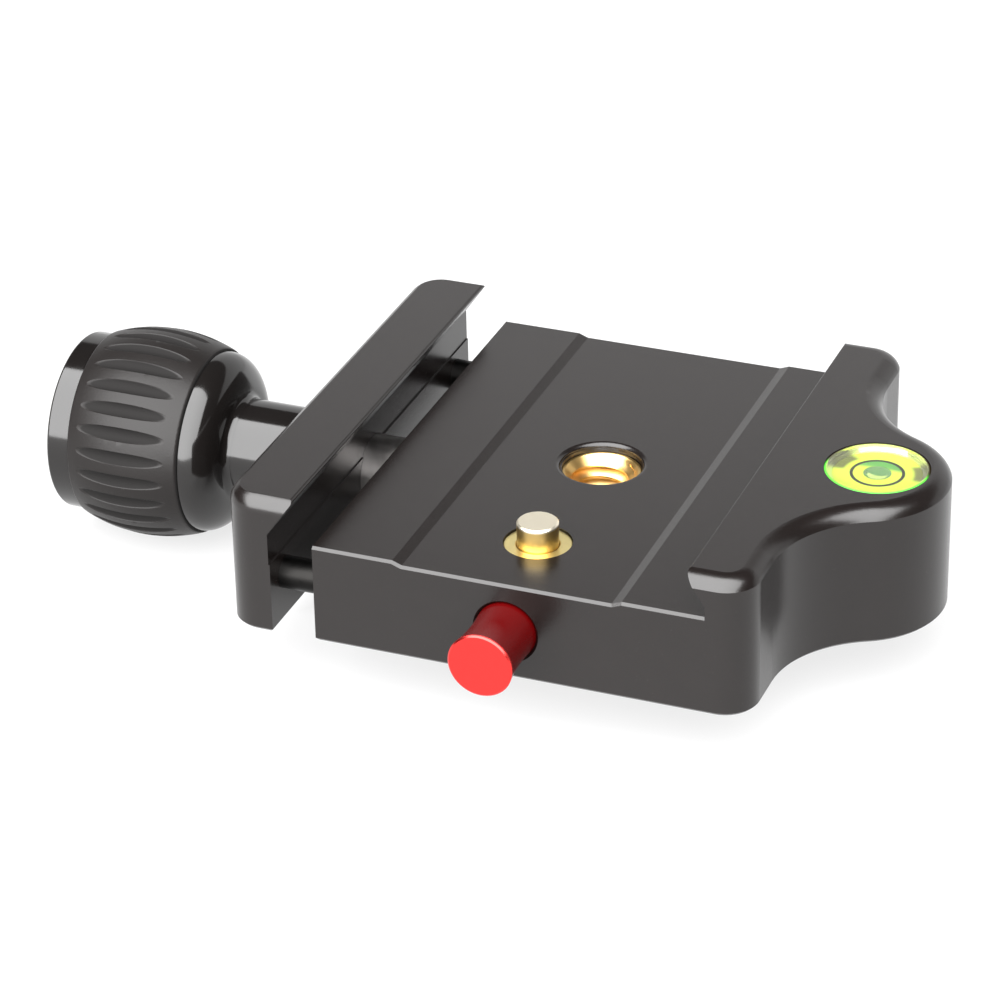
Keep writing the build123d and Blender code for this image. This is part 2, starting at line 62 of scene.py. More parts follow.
# Lowest and highest corners of CAD nodes at rest, and places that follow from them.
BUSH_LOW, BUSH_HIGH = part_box("mount_bushing")
SCREW_LOW, SCREW_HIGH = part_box("clamp_screw")
GRIP_LOW, GRIP_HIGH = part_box("knob_grip")
LEVEL_LOW, LEVEL_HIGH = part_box("level_vial")
FLUID_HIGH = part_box("level_fluid")[1]
COLLAR_SINK = 0.2 * MM
POCKET_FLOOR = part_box("pin_bushing")[1].z + COLLAR_SINK
SCREW_Z = (SCREW_LOW.z + SCREW_HIGH.z) / 2
LEVEL_X = (LEVEL_LOW.x + LEVEL_HIGH.x) / 2
LEVEL_AXIS = Vector((LEVEL_X, 0, 0))
GRIP_MID = (GRIP_LOW.x + GRIP_HIGH.x) / 2
HOLE_AXIS = Vector((0, 0, 0))


class ClampFinishes(PropertyGroup):
    """Colours of the clamp's finishes."""

    body: FloatVectorProperty(
        name="Black anodised",
        description="Satin black of the platform and the jaws",
        subtype="COLOR", size=3, min=0, max=1, default=(0.0042, 0.0030, 0.0027),
    )
    gloss: FloatVectorProperty(
        name="Gloss black",
        description="Polished black of the knob's bell, stem and cap",
        subtype="COLOR", size=3, min=0, max=1, default=(0.0040, 0.0034, 0.0032),
    )
    rubber: FloatVectorProperty(
        name="Rubber",
        description="Moulded barrel of the knob",
        subtype="COLOR", size=3, min=0, max=1, default=(0.0056, 0.0046, 0.0043),
    )
    brass: FloatVectorProperty(
        name="Brass",
        description="Bush and the plug under the catch pin",
        subtype="COLOR", size=3, min=0, max=1, default=(0.72, 0.48, 0.18),
    )
    collar: FloatVectorProperty(
        name="Collar",
        description="Pale brass collar round the catch pin",
        subtype="COLOR", size=3, min=0, max=1, default=(0.98, 0.80, 0.36),
    )
    pin_side: FloatVectorProperty(
        name="Catch pin's side",
        description="Turned side of the catch pin",
        subtype="COLOR", size=3, min=0, max=1, default=(0.50, 0.35, 0.13),
    )
    pin_top: FloatVectorProperty(
        name="Catch pin's top",
        description="Top of the catch pin, rubbed pale by plates",
        subtype="COLOR", size=3, min=0, max=1, default=(0.98, 0.90, 0.72),
    )
    steel: FloatVectorProperty(
        name="Steel",
        description="Spring, dowel and clamp screw",
        subtype="COLOR", size=3, min=0, max=1, default=(0.20, 0.19, 0.185),
    )
    pins: FloatVectorProperty(
        name="Dark steel",
        description="Guide pins and washer",
        subtype="COLOR", size=3, min=0, max=1, default=(0.014, 0.0135, 0.013),
    )
    button: FloatVectorProperty(
        name="Red anodised",
        description="Face of the release button",
        subtype="COLOR", size=3, min=0, max=1, default=(0.80, 0.050, 0.046),
    )
    # painted shade: the button's side is a darker red copy of its face's anodised red
    button_side_painted_shade: FloatVectorProperty(
        name="Button's side",
        description="Deeper red of the release button's side",
        subtype="COLOR", size=3, min=0, max=1, default=(0.055, 0.0006, 0.0008),
    )
    oxide: FloatVectorProperty(
        name="Black oxide",
        description="Small screws and the knob's roll pin",
        subtype="COLOR", size=3, min=0, max=1, default=(0.03, 0.03, 0.032),
    )
    spirit: FloatVectorProperty(
        name="Level spirit",
        description="Liquid of the spirit level",
        subtype="COLOR", size=3, min=0, max=1, default=(0.50, 0.62, 0.06),
    )


class ClampThreads(PropertyGroup):
    """Sizes of the bush's thread and of the level's printed ring."""

    stud_pitch: FloatProperty(
        name="Stud pitch",
        description="Pitch of the mounting bush's inner thread",
        subtype="DISTANCE", default=1.27 * MM,
    )
    stud_depth: FloatProperty(
        name="Stud thread depth",
        description="Crest to root of the mounting bush's inner thread",
        subtype="DISTANCE", default=0.6 * MM,
    )
    stud_crest: FloatProperty(
        name="Stud thread crest",
        description="Radius of the mounting bush's inner thread at its crest",
        subtype="DISTANCE", default=2.6 * MM,
    )
    stud_mouth: FloatProperty(
        name="Stud mouth",
        description="Width of the countersink at the top of the mounting bush",
        subtype="DISTANCE", default=0.95 * MM,
    )
    hole_pitch: FloatProperty(
        name="Hole pitch",
        description="Pitch of the thread in the mounting hole above the bush",
        subtype="DISTANCE", default=1.5875 * MM,
    )
    ring_radius: FloatProperty(
        name="Ring radius",
        description="Printed ring of the spirit level",
        subtype="DISTANCE", default=2.45 * MM,
    )
    ring_width: FloatProperty(
        name="Ring width",
        description="Line width of the spirit level's printed ring",
        subtype="DISTANCE", default=0.3 * MM,
    )
    steps: IntProperty(
        name="Turning steps",
        description="Steps round a full turn of a turned piece",
        default=96, min=24, max=256,
    )


class StudioSettings(PropertyGroup):
    """Camera, floor and lights."""

    azimuth: FloatProperty(
        name="Azimuth",
        description="Camera's turn about the upright axis",
        subtype="ANGLE", default=math.radians(21.509),
    )
    elevation: FloatProperty(
        name="Elevation",
        description="Camera's height above the horizon",
        subtype="ANGLE", default=math.radians(28.963),
    )
    roll: FloatProperty(
        name="Roll",
        description="Camera's turn about its own axis",
        subtype="ANGLE", default=math.radians(-0.939),
    )
    place: FloatVectorProperty(
        name="Camera place",
        description="Camera's position",
        subtype="TRANSLATION", size=3, default=(0.117107, -0.317376, 0.193170),
    )
    lens: FloatProperty(
        name="Lens",
        description="Focal length in millimetres on a 36 mm sensor",
        default=143.83,
    )
    shift_x: FloatProperty(
        name="Shift X",
        description="Sideways shift of the camera's frame",
        default=-0.0252,
    )
    shift_y: FloatProperty(
        name="Shift Y",
        description="Upright shift of the camera's frame",
        default=-0.0017,
    )
    floor_level: FloatProperty(
        name="Floor level",
        description="Height of the floor, under the knob's crest",
        subtype="DISTANCE", default=GRIP_LOW.z - 0.1 * MM,
    )
    floor_colour: FloatVectorProperty(
        name="Floor",
        description="Pale floor and the sweep behind the clamp",
        subtype="COLOR", size=3, min=0, max=1, default=(0.11, 0.11, 0.11),
    )
    floor_glow: FloatProperty(
        name="Floor glow",
        description="Light of the floor itself, which softens the shadows on it",
        default=0.74,
    )
    room: FloatProperty(
        name="Room light",
        description="Strength of the even light all round",
        default=0.06,
    )
    softbox_power: FloatProperty(
        name="Softbox",
        description="Power of the softbox that leans over the clamp from the front left",
        subtype="POWER", default=222.0,
    )
    softbox_far: FloatProperty(
        name="Softbox distance",
        description="Clamp to the middle of the softbox",
        subtype="DISTANCE", default=1.2,
    )
    softbox_tilt: FloatProperty(
        name="Softbox elevation",
        description="Height of the softbox's middle above the horizon",
        subtype="ANGLE", default=math.radians(46.5),
    )
    softbox_size: FloatVectorProperty(
        name="Softbox size",
        description="Width and height of the softbox",
        subtype="XYZ_LENGTH", size=2, default=(2.7, 2.53),
    )
    softbox_fall: FloatProperty(
        name="Softbox falloff",
        description="Brightness left at the softbox's right edge",
        default=0.8, min=0, max=1,
    )
    softbox_left: FloatProperty(
        name="Softbox offset",
        description="How far the softbox's middle is moved to the left",
        subtype="DISTANCE", default=-0.085,
    )
    sweep_far: FloatProperty(
        name="Sweep distance",
        description="Clamp to the white sweep behind it",
        subtype="DISTANCE", default=1.6,
    )
    sweep_height: FloatProperty(
        name="Sweep height",
        description="Height of the white sweep",
        subtype="DISTANCE", default=1.12,
    )


def new_material(name, colour, roughness, metallic=0.0):
    """Material with its principled shader, both returned."""
    material = bpy.data.materials.new(name)
    material.use_nodes = True
    shader = material.node_tree.nodes["Principled BSDF"]
    shader.inputs["Base Color"].default_value = (*colour, 1)
    shader.inputs["Roughness"].default_value = roughness
    shader.inputs["Metallic"].default_value = metallic
    return material, shader


def object_coordinates(material, centre=(0, 0, 0), turn=(0, 0, 0)):
    """Object coordinates measured from a centre and turned."""
    nodes = material.node_tree.nodes
    links = material.node_tree.links
    source = nodes.new("ShaderNodeTexCoord")
    shift = nodes.new("ShaderNodeMapping")
    shift.inputs["Location"].default_value = [-c for c in centre]
    links.new(source.outputs["Object"], shift.inputs["Vector"])
    mapping = nodes.new("ShaderNodeMapping")
    mapping.inputs["Rotation"].default_value = turn
    links.new(shift.outputs["Vector"], mapping.inputs["Vector"])
    return mapping.outputs["Vector"]


def noise(material, vector, size, detail=2.0):
    """Noise whose grains are about the given size in metres."""
    node = material.node_tree.nodes.new("ShaderNodeTexNoise")
    node.inputs["Scale"].default_value = 1 / size
    node.inputs["Detail"].default_value = detail
    material.node_tree.links.new(vector, node.inputs["Vector"])
    return node.outputs["Fac"]


def turned_marks(material, vector, pitch):
    """Fine rings about the local Z axis, one every pitch."""
    node = material.node_tree.nodes.new("ShaderNodeTexWave")
    node.wave_type = "RINGS"
    node.rings_direction = "Z"
    node.inputs["Scale"].default_value = math.pi / 10 / pitch
    node.inputs["Distortion"].default_value = 1.5
    node.inputs["Detail"].default_value = 2.0
    node.inputs["Detail Scale"].default_value = 2.0
    material.node_tree.links.new(vector, node.inputs["Vector"])
    return node.outputs["Fac"]


def bump(material, shader, height, depth):
    """Bump of the given depth in metres on a shader."""
    node = material.node_tree.nodes.new("ShaderNodeBump")
    node.inputs["Distance"].default_value = depth
    node.inputs["Strength"].default_value = 1.0
    material.node_tree.links.new(height, node.inputs["Height"])
    material.node_tree.links.new(node.outputs["Normal"], shader.inputs["Normal"])


def spread(material, value, low, high, socket):
    """Map a 0 to 1 value to a range on a socket."""
    node = material.node_tree.nodes.new("ShaderNodeMapRange")
    node.inputs["To Min"].default_value = low
    node.inputs["To Max"].default_value = high
    material.node_tree.links.new(value, node.inputs["Value"])
    material.node_tree.links.new(node.outputs["Result"], socket)


def tinted(material, value, dark, light, shader):
    """Base colour that goes from dark to light with a 0 to 1 value."""
    node = material.node_tree.nodes.new("ShaderNodeMix")
    node.data_type = "RGBA"
    node.inputs["A"].default_value = (*dark, 1)
    node.inputs["B"].default_value = (*light, 1)
    material.node_tree.links.new(value, node.inputs["Factor"])
    material.node_tree.links.new(node.outputs["Result"], shader.inputs["Base Color"])


def shade(colour, factor):
    """Colour made darker or lighter."""
    return tuple(min(1.0, c * factor) for c in colour)


def calculate(material, operation, first, second=0.0):
    """Math node on two values, each a number or a socket."""
    node = material.node_tree.nodes.new("ShaderNodeMath")
    node.operation = operation
    for place, value in enumerate((first, second)):
        if isinstance(value, (int, float)):
            node.inputs[place].default_value = value
        else:
            material.node_tree.links.new(value, node.inputs[place])
    return node.outputs["Value"]


def ramp(material, value, start, end):
    """Smooth 0 to 1 step of a value between two limits."""
    node = material.node_tree.nodes.new("ShaderNodeMapRange")
    node.interpolation_type = "SMOOTHSTEP"
    node.inputs["From Min"].default_value = start
    node.inputs["From Max"].default_value = end
    material.node_tree.links.new(value, node.inputs["Value"])
    return node.outputs["Result"]


def split(material, vector):
    """X, Y and Z of a vector socket."""
    node = material.node_tree.nodes.new("ShaderNodeSeparateXYZ")
    material.node_tree.links.new(vector, node.inputs["Vector"])
    return node.outputs["X"], node.outputs["Y"], node.outputs["Z"]


def fade(material, value, start, end):
    """Smooth 1 to 0 step of a value between two limits."""
    return calculate(material, "SUBTRACT", 1.0, ramp(material, value, start, end))


def reach(material, first, second):
    """Distance from an axis, of two coordinates across it."""
    square = calculate(material, "POWER", first, 2)
    return calculate(material, "SQRT", calculate(
        material, "ADD", square, calculate(material, "POWER", second, 2),
    ))


def layer(material, below, above, share):
    """One colour laid over another by a share; each colour is a tuple or a socket."""
    node = material.node_tree.nodes.new("ShaderNodeMix")
    node.data_type = "RGBA"
    links = material.node_tree.links
    links.new(share, node.inputs["Factor"])
    for socket, colour in (("A", below), ("B", above)):
        if isinstance(colour, tuple):
            node.inputs[socket].default_value = (*colour, 1)
        else:
            links.new(colour, node.inputs[socket])
    return node.outputs["Result"]


def flute_depth(material, vector):
    """1 in the barrel's flutes, 0 on its crest."""
    bulge = 1.14 * MM  # the barrel's middle stands this far out past its ends
    half = (GRIP_HIGH.x - GRIP_LOW.x) / 2
    crest = GRIP_HIGH.y
    arch = (half**2 + bulge**2) / (2 * bulge)
    x, y, z = split(material, vector)
    radius = reach(material, y, z)
    inner = calculate(material, "SUBTRACT", arch**2, calculate(material, "POWER", x, 2))
    barrel = calculate(material, "ADD", calculate(material, "SQRT", inner), crest - arch)
    below = calculate(material, "SUBTRACT", barrel, radius)
    return ramp(material, below, 0.03 * MM, 0.10 * MM)


def satin_black():
    """Bead-blasted black anodised aluminium of the platform and jaws."""
    colour = tuple(bpy.context.scene.clamp_finishes.body)
    material, shader = new_material("satin_black", colour, 0.42)
    vector = object_coordinates(material)
    grain = noise(material, vector, 0.16 * MM, 3.0)
    cloud = noise(material, vector, 2.5 * MM, 2.0)
    tinted(material, cloud, shade(colour, 0.85), shade(colour, 1.15), shader)
    spread(material, grain, 0.20, 0.30, shader.inputs["Roughness"])
    bump(material, shader, grain, 0.007 * MM)
    return material


def gloss_black():
    """Polished black of the knob's metal."""
    colour = tuple(bpy.context.scene.clamp_finishes.gloss)
    material, shader = new_material("gloss_black", colour, 0.08)
    vector = object_coordinates(material)
    haze = noise(material, vector, 1.2 * MM, 3.0)
    spread(material, haze, 0.08, 0.15, shader.inputs["Roughness"])
    return material


def moulded_rubber():
    """Rubber whose ground crest has a sheen and whose flutes are rougher, with the flutes' colour
    painted darker as painted shade.
    """
    colour = tuple(bpy.context.scene.clamp_finishes.rubber)
    material, shader = new_material("moulded_rubber", colour, 0.5)
    shader.inputs["Specular IOR Level"].default_value = 0.24
    vector = object_coordinates(material, (GRIP_MID, 0, SCREW_Z))
    flute = flute_depth(material, vector)
    grain = noise(material, vector, 0.22 * MM, 3.0)
    # painted shade: the base colour darkened in the recessed flutes
    tinted(material, flute, colour, shade(colour, 0.55), shader)
    spread(material, flute, 0.40, 0.85, shader.inputs["Roughness"])
    bump(material, shader, grain, 0.012 * MM)
    return material


def turned_metal(
    name, colour, roughness, centre, turn=(0, 0, 0), pitch=0.09 * MM, depth=0.0012 * MM,
):
    """Bare or anodised metal with turning marks about an axis."""
    material, shader = new_material(name, colour, roughness, 1.0)
    vector = object_coordinates(material, centre, turn)
    rings = turned_marks(material, vector, pitch)
    cloud = noise(material, vector, 0.6 * MM, 2.0)
    tinted(material, cloud, shade(colour, 0.9), shade(colour, 1.06), shader)
    spread(material, cloud, roughness * 0.85, roughness * 1.2, shader.inputs["Roughness"])
    bump(material, shader, rings, depth)
    return material


def dress(node, material):
    """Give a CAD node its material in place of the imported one."""
    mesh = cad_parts[node].data
    mesh.materials.clear()
    mesh.materials.append(material)


def finish_piece(name, bm, body, material):
    """Make a bmesh an object at the origin that rides on a body."""
    bmesh.ops.remove_doubles(bm, verts=bm.verts[:], dist=MERGE)
    bmesh.ops.recalc_face_normals(bm, faces=bm.faces[:])
    for face in bm.faces:
        face.smooth = True
    for edge in bm.edges:
        if edge.is_manifold:
            edge.smooth = edge.calc_face_angle() < SHARP
    mesh = bpy.data.meshes.new(name)
    bm.to_mesh(mesh)
    bm.free()
    mesh.materials.append(material)
    piece = bpy.data.objects.new(name, mesh)
    bpy.context.scene.collection.objects.link(piece)
    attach(piece, body)
    return piece


def chain(bm, points):
    """Open chain of vertices and edges through the points."""
    verts = [bm.verts.new(p) for p in points]
    edges = [bm.edges.new(pair) for pair in zip(verts, verts[1:])]
    return verts + edges


def arc(centre, radius, start_deg, end_deg, count):
    """Points of an arc as (radius, z) pairs."""
    swept = end_deg - start_deg
    angles = [math.radians(start_deg + swept * i / count) for i in range(count + 1)]
    return [(centre[0] + radius * math.cos(a), centre[1] + radius * math.sin(a)) for a in angles]


def turned_z(bm, profile, centre, steps):
    """Full turn of (radius, z) points about an upright axis."""
    points = [(centre.x + r, centre.y, z) for r, z in profile]
    geom = chain(bm, points)
    bmesh.ops.spin(
        bm, geom=geom, cent=centre, axis=(0, 0, 1), angle=2 * math.pi, steps=steps,
        use_merge=True,
    )


def thread_profile(crest, root, pitch, start, turns):
    """(radius, along) points of a sharp thread with narrow flats, over several turns."""
    points = []
    for i in range(turns):
        low = start + i * pitch
        points.append((root, low))
        points.append((root, low + 0.12 * pitch))
        points.append(((crest + root) / 2, low + 0.30 * pitch))
        points.append((crest, low + 0.48 * pitch))
        points.append((crest, low + 0.62 * pitch))
        points.append(((crest + root) / 2, low + 0.81 * pitch))
    points.append((root, start + turns * pitch))
    return points


def wind(bm, profile, pitch, steps):
    """One turn of a helix up the hole's axis: each step also climbs a share of the pitch."""
    geom = chain(bm, [(r, 0, z) for r, z in profile])
    bmesh.ops.spin(
        bm, geom=geom, cent=HOLE_AXIS, axis=(0, 0, 1), dvec=(0, 0, pitch / steps),
        angle=2 * math.pi, steps=steps,
    )
    bmesh.ops.remove_doubles(bm, verts=bm.verts[:], dist=0.004 * MM)


def trim(bm, place, normal):
    """Cut everything past a plane away."""
    geom = bm.verts[:] + bm.edges[:] + bm.faces[:]
    bmesh.ops.bisect_plane(
        bm, geom=geom, dist=1e-7, plane_co=place, plane_no=normal, clear_outer=True,
    )


class CLAMP_OT_body(Operator):
    """Satin black on the platform and the moving jaw."""

    bl_idname = "clamp.body"
    bl_label = "Platform and jaws"

    def execute(self, context):
        black = satin_black()
        dress("base_body", black)
        dress("moving_jaw", black)
        return {"FINISHED"}


class CLAMP_OT_knob(Operator):
    """Gloss black and rubber on the knob."""

    bl_idname = "clamp.knob"
    bl_label = "Knob"

    def execute(self, context):
        gloss = gloss_black()
        dress("knob_core", gloss)
        dress("knob_cap", gloss)
        dress("knob_grip", moulded_rubber())
        return {"FINISHED"}


class CLAMP_OT_bush(Operator):
    """Brass reducing bush with its real inner thread."""

    bl_idname = "clamp.bush"
    bl_label = "Mounting bush"

    def execute(self, context):
        threads = context.scene.clamp_threads
        finishes = context.scene.clamp_finishes
        pitch = threads.stud_pitch
        crest = threads.stud_crest
        root = crest + threads.stud_depth
        outer = BUSH_HIGH.x
        low = BUSH_LOW.z
        high = BUSH_HIGH.z
        turns = int((high - low) / pitch) + 3
        bm = bmesh.new()
        points = thread_profile(crest, root, pitch, low - 1.5 * pitch, turns)
        wind(bm, points, pitch, threads.steps)
        trim(bm, (0, 0, low), (0, 0, -1))
        trim(bm, (0, 0, high), (0, 0, 1))
        self.open_mouth(bm, high, crest + threads.stud_mouth)
        edge = 0.2 * MM
        wall = [(outer, low), (outer, high - edge), (outer - edge, high)]
        shell = bmesh.new()
        turned_z(shell, wall, HOLE_AXIS, threads.steps)
        self.take(bm, shell)
        self.close_end(bm, low)
        self.close_end(bm, high)
        brass = turned_metal("turned_brass", tuple(finishes.brass), 0.3, (0, 0, 0))
        piece = finish_piece("bush_with_thread", bm, "base", brass)
        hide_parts("mount_bushing")
        self.threaded_mouth(threads)
        return {"FINISHED"}

    def threaded_mouth(self, threads):
        """Rounded mouth of the mounting hole and the thread that shows above the bush."""
        radius = BUSH_HIGH.x + FIT
        round_r = 0.46 * MM
        skin = 0.04 * MM  # the piece goes this far into the base
        low = BUSH_HIGH.z + 0.01 * MM
        high = POCKET_FLOOR - round_r
        bm = bmesh.new()
        pitch = threads.hole_pitch
        crest = radius - 0.16 * MM
        root = radius - 0.005 * MM
        wind(bm, thread_profile(crest, root, pitch, low - 2 * pitch, 4), pitch, threads.steps)
        trim(bm, (0, 0, low), (0, 0, -1))
        trim(bm, (0, 0, high), (0, 0, 1))
        wall = bmesh.new()
        back = [(radius + skin, low), (radius + skin, high)]
        turned_z(wall, back, HOLE_AXIS, threads.steps)
        self.take(bm, wall)
        self.close_end(bm, low)
        self.close_end(bm, high)
        rim = bmesh.new()
        rounding = arc((radius + round_r, high), round_r, 180, 90, 10)
        under = [
            (radius + round_r, POCKET_FLOOR - skin), (radius + skin, high - skin), (radius, high),
        ]
        turned_z(rim, rounding + under, HOLE_AXIS, threads.steps)
        bmesh.ops.remove_doubles(rim, verts=rim.verts[:], dist=MERGE)
        self.take(bm, rim)
        finish_piece("hole_mouth", bm, "base", satin_black())

    def take(self, bm, other):
        """Move another bmesh's faces into this one."""
        mesh = bpy.data.meshes.new("part")
        other.to_mesh(mesh)
        other.free()
        bm.from_mesh(mesh)
        bpy.data.meshes.remove(mesh)

    def open_mouth(self, bm, high, mouth):
        """Countersink the thread's top: no vertex stays inside the 45 degree cone."""
        for vert in bm.verts:
            radius = math.hypot(vert.co.x, vert.co.y)
            cone = mouth - (high - vert.co.z)
            if radius < cone:
                vert.co.x *= cone / radius
                vert.co.y *= cone / radius

    def close_end(self, bm, level):
        """Flat ring between the bore's edge and the wall's edge at one end."""
        rim = [
            e for e in bm.edges
            if e.is_boundary and all(abs(v.co.z - level) < 0.01 * MM for v in e.verts)
        ]
        bmesh.ops.triangle_fill(bm, use_beauty=True, edges=rim, normal=(0, 0, 1))


class CLAMP_OT_screw(Operator):
    """Clamp screw, its washer and the two guide pins."""

    bl_idname = "clamp.screw"
    bl_label = "Clamp screw and guide pins"

    def execute(self, context):
        finishes = context.scene.clamp_finishes
        centre = (0, 0, SCREW_Z)
        turn = (0, math.pi / 2, 0)
        dark = turned_metal("ground_steel", tuple(finishes.pins), 0.38, centre, turn)
        for node in ("guide_pin_front", "guide_pin_rear", "thrust_washer"):
            dress(node, dark)
        steel = turned_metal(
            "screw_steel", tuple(finishes.steel), 0.34, centre, turn, pitch=0.5 * MM,
            depth=0.03 * MM,
        )
        dress("clamp_screw", steel)
        return {"FINISHED"}


class CLAMP_OT_catch(Operator):
    """Brass catch pin and collar."""

    bl_idname = "clamp.catch"
    bl_label = "Catch pin"

    def execute(self, context):
        finishes = context.scene.clamp_finishes
        low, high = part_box("safety_pin")
        centre = (low + high) / 2
        brass = tuple(finishes.brass)
        collar = turned_metal("collar_brass", tuple(finishes.collar), 0.34, centre)
        dress("pin_bushing", collar)
        pin = turned_metal("pin_brass", brass, 0.34, centre, pitch=0.12 * MM, depth=0.0004 * MM)
        height = split(pin, object_coordinates(pin))[2]
        top = ramp(pin, height, high.z - 0.4 * MM, high.z - 0.2 * MM)
        shader = pin.node_tree.nodes["Principled BSDF"]
        tinted(pin, top, tuple(finishes.pin_side), tuple(finishes.pin_top), shader)
        dress("safety_pin", pin)
        steel = turned_metal("spring_steel", tuple(finishes.steel), 0.3, centre)
        for node in ("pin_spring", "cross_dowel"):
            dress(node, steel)
        dress("spring_plug", turned_metal("plug_brass", brass, 0.3, centre))
        return {"FINISHED"}


class CLAMP_OT_button(Operator):
    """Red anodised release button."""

    bl_idname = "clamp.button"
    bl_label = "Release button"

    def execute(self, context):
        finishes = context.scene.clamp_finishes
        low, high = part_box("release_button")
        centre = (low + high) / 2
        red = turned_metal(
            "red_anodised", tuple(finishes.button), 0.24, centre, (math.pi / 2, 0, 0),
            depth=0.0006 * MM,
        )
        shader = red.node_tree.nodes["Principled BSDF"]
        along = split(red, object_coordinates(red))[1]
        # painted shade: darker, non-metallic red on the button's side
        side = ramp(red, along, low.y + 0.10 * MM, low.y + 0.45 * MM)
        tinted(red, side, tuple(finishes.button), tuple(finishes.button_side_painted_shade), shader)
        spread(red, side, 1.0, 0.0, shader.inputs["Metallic"])
        shader.inputs["Specular IOR Level"].default_value = 0.15
        dress("release_button", red)
        return {"FINISHED"}


class CLAMP_OT_fasteners(Operator):
    """Black oxide on the small screws and the roll pin."""

    bl_idname = "clamp.fasteners"
    bl_label = "Small screws and pins"

    def execute(self, context):
        colour = tuple(context.scene.clamp_finishes.oxide)
        for node in ("button_stop_screw", "jaw_keeper_screw", "knob_roll_pin"):
            low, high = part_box(node)
            oxide = turned_metal(node + "_oxide", colour, 0.4, (low + high) / 2)
            dress(node, oxide)
        return {"FINISHED"}


